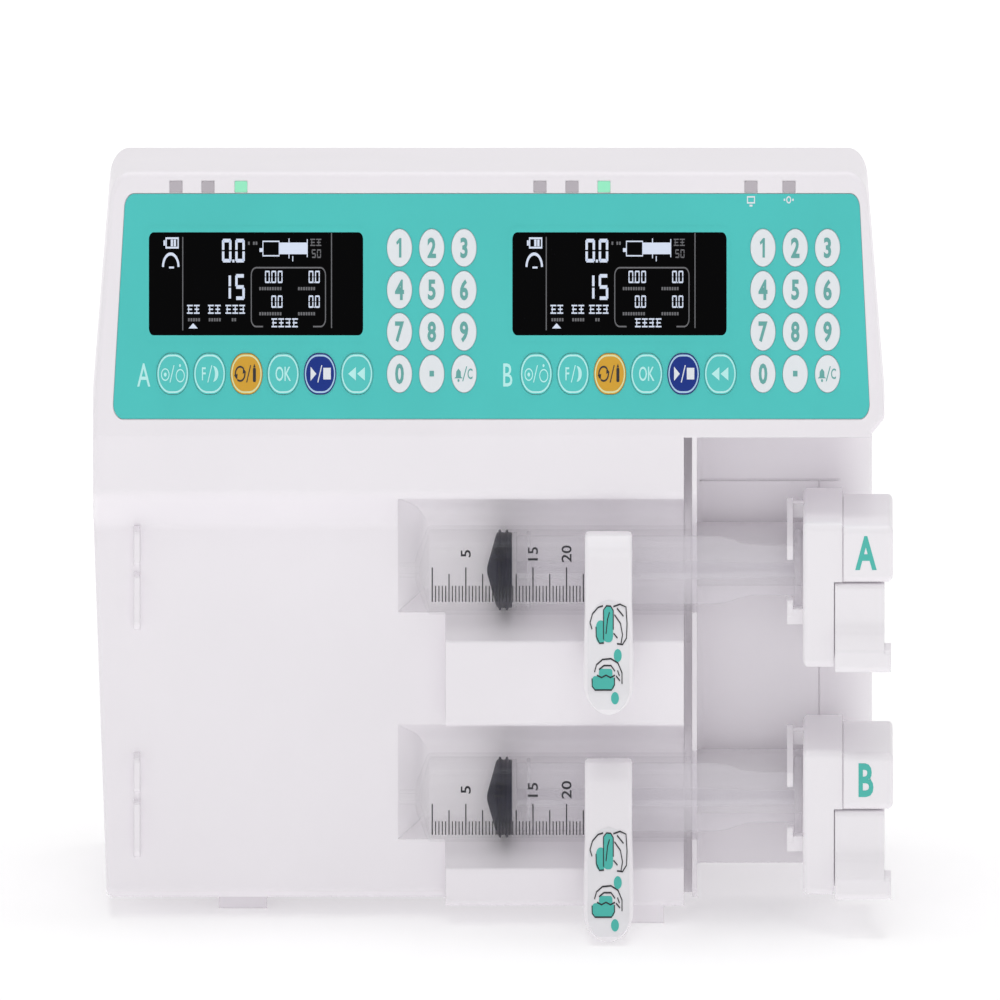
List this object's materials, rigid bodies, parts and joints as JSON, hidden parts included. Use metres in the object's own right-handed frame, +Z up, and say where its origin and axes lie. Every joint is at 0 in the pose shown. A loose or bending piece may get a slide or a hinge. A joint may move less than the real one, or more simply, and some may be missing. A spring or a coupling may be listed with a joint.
{
  "type": "dual-channel syringe pump",
  "caption": "Bench-top syringe pump with two loaded syringe channels, sliding pusher heads, turning barrel clamps, and a tilted keypad console with two displays.",
  "frame": {"origin": "middle of the underside of the whole pump's box, on the plane that the feet stand on", "axes": "+X from the syringes' nozzles to the pusher heads, +Z up, and the control panel faces -Y"},
  "size_m": [0.32, 0.16, 0.2018],
  "materials": {
    "housing_plastic": "fine satin ABS, pinkish white",
    "overlay_film": "printed polyester film, teal",
    "display_glass": "black glass",
    "light_lens": "smoked lens",
    "key_white": "satin",
    "key_teal": "satin",
    "key_orange": "satin",
    "key_blue": "satin",
    "clear_plastic": "clear polypropylene",
    "plunger_plastic": "translucent polypropylene",
    "tube_plastic": "smooth white coating",
    "steel": "ground",
    "aluminium": "milled",
    "motor_black": "matt black",
    "inlet_black": "moulded nylon"
  },
  "bodies": {
    "housing": {"front_housing": "housing_plastic", "rear_housing": "housing_plastic", "housing_screws": "steel", "control_overlay": "overlay_film", "display_modules": "display_glass", "indicator_lights": "light_lens", "syringe_barrels": "clear_plastic", "drive_frame": "aluminium", "drive_motors": "motor_black", "power_unit": "inlet_black"},
    "pusher_a": {"pusher_head_a": "housing_plastic", "push_tube_a": "tube_plastic", "plunger_a": "plunger_plastic"},
    "lever_a": {"release_lever_a": "housing_plastic"},
    "clamp_slide_a": {"clamp_shaft_a": "steel"},
    "clamp_swing_a": {"clamp_arm_a": "housing_plastic"},
    "screw_a": {"lead_screw_a": "steel"},
    "pusher_b": {"pusher_head_b": "housing_plastic", "push_tube_b": "tube_plastic", "plunger_b": "plunger_plastic"},
    "lever_b": {"release_lever_b": "housing_plastic"},
    "clamp_slide_b": {"clamp_shaft_b": "steel"},
    "clamp_swing_b": {"clamp_arm_b": "housing_plastic"},
    "screw_b": {"lead_screw_b": "steel"},
    "key_a_0": {"key_a_0": "key_white"},
    "key_a_1": {"key_a_1": "key_white"},
    "key_a_2": {"key_a_2": "key_white"},
    "key_a_3": {"key_a_3": "key_white"},
    "key_a_4": {"key_a_4": "key_white"},
    "key_a_5": {"key_a_5": "key_white"},
    "key_a_6": {"key_a_6": "key_white"},
    "key_a_7": {"key_a_7": "key_white"},
    "key_a_8": {"key_a_8": "key_white"},
    "key_a_9": {"key_a_9": "key_white"},
    "key_a_point": {"key_a_point": "key_white"},
    "key_a_clear": {"key_a_clear": "key_white"},
    "key_a_power": {"key_a_power": "key_teal"},
    "key_a_function": {"key_a_function": "key_teal"},
    "key_a_purge": {"key_a_purge": "key_orange"},
    "key_a_ok": {"key_a_ok": "key_teal"},
    "key_a_start_stop": {"key_a_start_stop": "key_blue"},
    "key_a_rewind": {"key_a_rewind": "key_teal"},
    "key_b_0": {"key_b_0": "key_white"},
    "key_b_1": {"key_b_1": "key_white"},
    "key_b_2": {"key_b_2": "key_white"},
    "key_b_3": {"key_b_3": "key_white"},
    "key_b_4": {"key_b_4": "key_white"},
    "key_b_5": {"key_b_5": "key_white"},
    "key_b_6": {"key_b_6": "key_white"},
    "key_b_7": {"key_b_7": "key_white"},
    "key_b_8": {"key_b_8": "key_white"},
    "key_b_9": {"key_b_9": "key_white"},
    "key_b_point": {"key_b_point": "key_white"},
    "key_b_clear": {"key_b_clear": "key_white"},
    "key_b_power": {"key_b_power": "key_teal"},
    "key_b_function": {"key_b_function": "key_teal"},
    "key_b_purge": {"key_b_purge": "key_orange"},
    "key_b_ok": {"key_b_ok": "key_teal"},
    "key_b_start_stop": {"key_b_start_stop": "key_blue"},
    "key_b_rewind": {"key_b_rewind": "key_teal"}
  },
  "joints": [
    {"name": "head_slide_a", "type": "slide", "parent": "housing", "child": "pusher_a", "axis": [1, 0, 0], "range_m": [-0.0265, 0.054]},
    {"name": "grip_lever_a", "type": "hinge", "parent": "pusher_a", "child": "lever_a", "pos_m": [0.148, -0.0605, 0.0932], "axis": [-1, 0, 0], "range_deg": [0, 15], "stiffness_Nm_per_rad": 0.6, "springref_deg": -6.88},
    {"name": "clamp_pull_a", "type": "slide", "parent": "housing", "child": "clamp_slide_a", "axis": [0, -1, 0], "range_m": [0, 0.015], "stiffness_N_per_m": 400, "springref_m": -0.01},
    {"name": "clamp_turn_a", "type": "hinge", "parent": "clamp_slide_a", "child": "clamp_swing_a", "pos_m": [0.0462, -0.055, 0.072], "axis": [0, -1, 0], "range_deg": [0, 90]},
    {"name": "drive_screw_a", "type": "hinge", "parent": "housing", "child": "screw_a", "pos_m": [0, 0.008, 0.0945], "axis": [1, 0, 0], "range_deg": [-1920, 3900]},
    {"name": "head_slide_b", "type": "slide", "parent": "housing", "child": "pusher_b", "axis": [1, 0, 0], "range_m": [-0.0265, 0.054]},
    {"name": "grip_lever_b", "type": "hinge", "parent": "pusher_b", "child": "lever_b", "pos_m": [0.148, -0.0605, 0.0317], "axis": [-1, 0, 0], "range_deg": [0, 15], "stiffness_Nm_per_rad": 0.6, "springref_deg": -6.88},
    {"name": "clamp_pull_b", "type": "slide", "parent": "housing", "child": "clamp_slide_b", "axis": [0, -1, 0], "range_m": [0, 0.015], "stiffness_N_per_m": 400, "springref_m": -0.01},
    {"name": "clamp_turn_b", "type": "hinge", "parent": "clamp_slide_b", "child": "clamp_swing_b", "pos_m": [0.0462, -0.055, 0.0105], "axis": [0, -1, 0], "range_deg": [0, 90]},
    {"name": "drive_screw_b", "type": "hinge", "parent": "housing", "child": "screw_b", "pos_m": [0, 0.008, 0.033], "axis": [1, 0, 0], "range_deg": [-1920, 3900]},
    {"name": "key_a_0_press", "type": "slide", "parent": "housing", "child": "key_a_0", "axis": [0, 0.9848, -0.1736], "range_m": [0, 0.0005], "stiffness_N_per_m": 1500, "springref_m": -0.0004},
    {"name": "key_a_1_press", "type": "slide", "parent": "housing", "child": "key_a_1", "axis": [0, 0.9848, -0.1736], "range_m": [0, 0.0005], "stiffness_N_per_m": 1500, "springref_m": -0.0004},
    {"name": "key_a_2_press", "type": "slide", "parent": "housing", "child": "key_a_2", "axis": [0, 0.9848, -0.1736], "range_m": [0, 0.0005], "stiffness_N_per_m": 1500, "springref_m": -0.0004},
    {"name": "key_a_3_press", "type": "slide", "parent": "housing", "child": "key_a_3", "axis": [0, 0.9848, -0.1736], "range_m": [0, 0.0005], "stiffness_N_per_m": 1500, "springref_m": -0.0004},
    {"name": "key_a_4_press", "type": "slide", "parent": "housing", "child": "key_a_4", "axis": [0, 0.9848, -0.1736], "range_m": [0, 0.0005], "stiffness_N_per_m": 1500, "springref_m": -0.0004},
    {"name": "key_a_5_press", "type": "slide", "parent": "housing", "child": "key_a_5", "axis": [0, 0.9848, -0.1736], "range_m": [0, 0.0005], "stiffness_N_per_m": 1500, "springref_m": -0.0004},
    {"name": "key_a_6_press", "type": "slide", "parent": "housing", "child": "key_a_6", "axis": [0, 0.9848, -0.1736], "range_m": [0, 0.0005], "stiffness_N_per_m": 1500, "springref_m": -0.0004},
    {"name": "key_a_7_press", "type": "slide", "parent": "housing", "child": "key_a_7", "axis": [0, 0.9848, -0.1736], "range_m": [0, 0.0005], "stiffness_N_per_m": 1500, "springref_m": -0.0004},
    {"name": "key_a_8_press", "type": "slide", "parent": "housing", "child": "key_a_8", "axis": [0, 0.9848, -0.1736], "range_m": [0, 0.0005], "stiffness_N_per_m": 1500, "springref_m": -0.0004},
    {"name": "key_a_9_press", "type": "slide", "parent": "housing", "child": "key_a_9", "axis": [0, 0.9848, -0.1736], "range_m": [0, 0.0005], "stiffness_N_per_m": 1500, "springref_m": -0.0004},
    {"name": "key_a_point_press", "type": "slide", "parent": "housing", "child": "key_a_point", "axis": [0, 0.9848, -0.1736], "range_m": [0, 0.0005], "stiffness_N_per_m": 1500, "springref_m": -0.0004},
    {"name": "key_a_clear_press", "type": "slide", "parent": "housing", "child": "key_a_clear", "axis": [0, 0.9848, -0.1736], "range_m": [0, 0.0005], "stiffness_N_per_m": 1500, "springref_m": -0.0004},
    {"name": "key_a_power_press", "type": "slide", "parent": "housing", "child": "key_a_power", "axis": [0, 0.9848, -0.1736], "range_m": [0, 0.0005], "stiffness_N_per_m": 1500, "springref_m": -0.0004},
    {"name": "key_a_function_press", "type": "slide", "parent": "housing", "child": "key_a_function", "axis": [0, 0.9848, -0.1736], "range_m": [0, 0.0005], "stiffness_N_per_m": 1500, "springref_m": -0.0004},
    {"name": "key_a_purge_press", "type": "slide", "parent": "housing", "child": "key_a_purge", "axis": [0, 0.9848, -0.1736], "range_m": [0, 0.0005], "stiffness_N_per_m": 1500, "springref_m": -0.0004},
    {"name": "key_a_ok_press", "type": "slide", "parent": "housing", "child": "key_a_ok", "axis": [0, 0.9848, -0.1736], "range_m": [0, 0.0005], "stiffness_N_per_m": 1500, "springref_m": -0.0004},
    {"name": "key_a_start_stop_press", "type": "slide", "parent": "housing", "child": "key_a_start_stop", "axis": [0, 0.9848, -0.1736], "range_m": [0, 0.0005], "stiffness_N_per_m": 1500, "springref_m": -0.0004},
    {"name": "key_a_rewind_press", "type": "slide", "parent": "housing", "child": "key_a_rewind", "axis": [0, 0.9848, -0.1736], "range_m": [0, 0.0005], "stiffness_N_per_m": 1500, "springref_m": -0.0004},
    {"name": "key_b_0_press", "type": "slide", "parent": "housing", "child": "key_b_0", "axis": [0, 0.9848, -0.1736], "range_m": [0, 0.0005], "stiffness_N_per_m": 1500, "springref_m": -0.0004},
    {"name": "key_b_1_press", "type": "slide", "parent": "housing", "child": "key_b_1", "axis": [0, 0.9848, -0.1736], "range_m": [0, 0.0005], "stiffness_N_per_m": 1500, "springref_m": -0.0004},
    {"name": "key_b_2_press", "type": "slide", "parent": "housing", "child": "key_b_2", "axis": [0, 0.9848, -0.1736], "range_m": [0, 0.0005], "stiffness_N_per_m": 1500, "springref_m": -0.0004},
    {"name": "key_b_3_press", "type": "slide", "parent": "housing", "child": "key_b_3", "axis": [0, 0.9848, -0.1736], "range_m": [0, 0.0005], "stiffness_N_per_m": 1500, "springref_m": -0.0004},
    {"name": "key_b_4_press", "type": "slide", "parent": "housing", "child": "key_b_4", "axis": [0, 0.9848, -0.1736], "range_m": [0, 0.0005], "stiffness_N_per_m": 1500, "springref_m": -0.0004},
    {"name": "key_b_5_press", "type": "slide", "parent": "housing", "child": "key_b_5", "axis": [0, 0.9848, -0.1736], "range_m": [0, 0.0005], "stiffness_N_per_m": 1500, "springref_m": -0.0004},
    {"name": "key_b_6_press", "type": "slide", "parent": "housing", "child": "key_b_6", "axis": [0, 0.9848, -0.1736], "range_m": [0, 0.0005], "stiffness_N_per_m": 1500, "springref_m": -0.0004},
    {"name": "key_b_7_press", "type": "slide", "parent": "housing", "child": "key_b_7", "axis": [0, 0.9848, -0.1736], "range_m": [0, 0.0005], "stiffness_N_per_m": 1500, "springref_m": -0.0004},
    {"name": "key_b_8_press", "type": "slide", "parent": "housing", "child": "key_b_8", "axis": [0, 0.9848, -0.1736], "range_m": [0, 0.0005], "stiffness_N_per_m": 1500, "springref_m": -0.0004},
    {"name": "key_b_9_press", "type": "slide", "parent": "housing", "child": "key_b_9", "axis": [0, 0.9848, -0.1736], "range_m": [0, 0.0005], "stiffness_N_per_m": 1500, "springref_m": -0.0004},
    {"name": "key_b_point_press", "type": "slide", "parent": "housing", "child": "key_b_point", "axis": [0, 0.9848, -0.1736], "range_m": [0, 0.0005], "stiffness_N_per_m": 1500, "springref_m": -0.0004},
    {"name": "key_b_clear_press", "type": "slide", "parent": "housing", "child": "key_b_clear", "axis": [0, 0.9848, -0.1736], "range_m": [0, 0.0005], "stiffness_N_per_m": 1500, "springref_m": -0.0004},
    {"name": "key_b_power_press", "type": "slide", "parent": "housing", "child": "key_b_power", "axis": [0, 0.9848, -0.1736], "range_m": [0, 0.0005], "stiffness_N_per_m": 1500, "springref_m": -0.0004},
    {"name": "key_b_function_press", "type": "slide", "parent": "housing", "child": "key_b_function", "axis": [0, 0.9848, -0.1736], "range_m": [0, 0.0005], "stiffness_N_per_m": 1500, "springref_m": -0.0004},
    {"name": "key_b_purge_press", "type": "slide", "parent": "housing", "child": "key_b_purge", "axis": [0, 0.9848, -0.1736], "range_m": [0, 0.0005], "stiffness_N_per_m": 1500, "springref_m": -0.0004},
    {"name": "key_b_ok_press", "type": "slide", "parent": "housing", "child": "key_b_ok", "axis": [0, 0.9848, -0.1736], "range_m": [0, 0.0005], "stiffness_N_per_m": 1500, "springref_m": -0.0004},
    {"name": "key_b_start_stop_press", "type": "slide", "parent": "housing", "child": "key_b_start_stop", "axis": [0, 0.9848, -0.1736], "range_m": [0, 0.0005], "stiffness_N_per_m": 1500, "springref_m": -0.0004},
    {"name": "key_b_rewind_press", "type": "slide", "parent": "housing", "child": "key_b_rewind", "axis": [0, 0.9848, -0.1736], "range_m": [0, 0.0005], "stiffness_N_per_m": 1500, "springref_m": -0.0004}
  ],
  "couplings": [
    {"joint": "drive_screw_a", "follows": "head_slide_a", "rad_per_m": 1256.6},
    {"joint": "drive_screw_b", "follows": "head_slide_b", "rad_per_m": 1256.6}
  ]
}
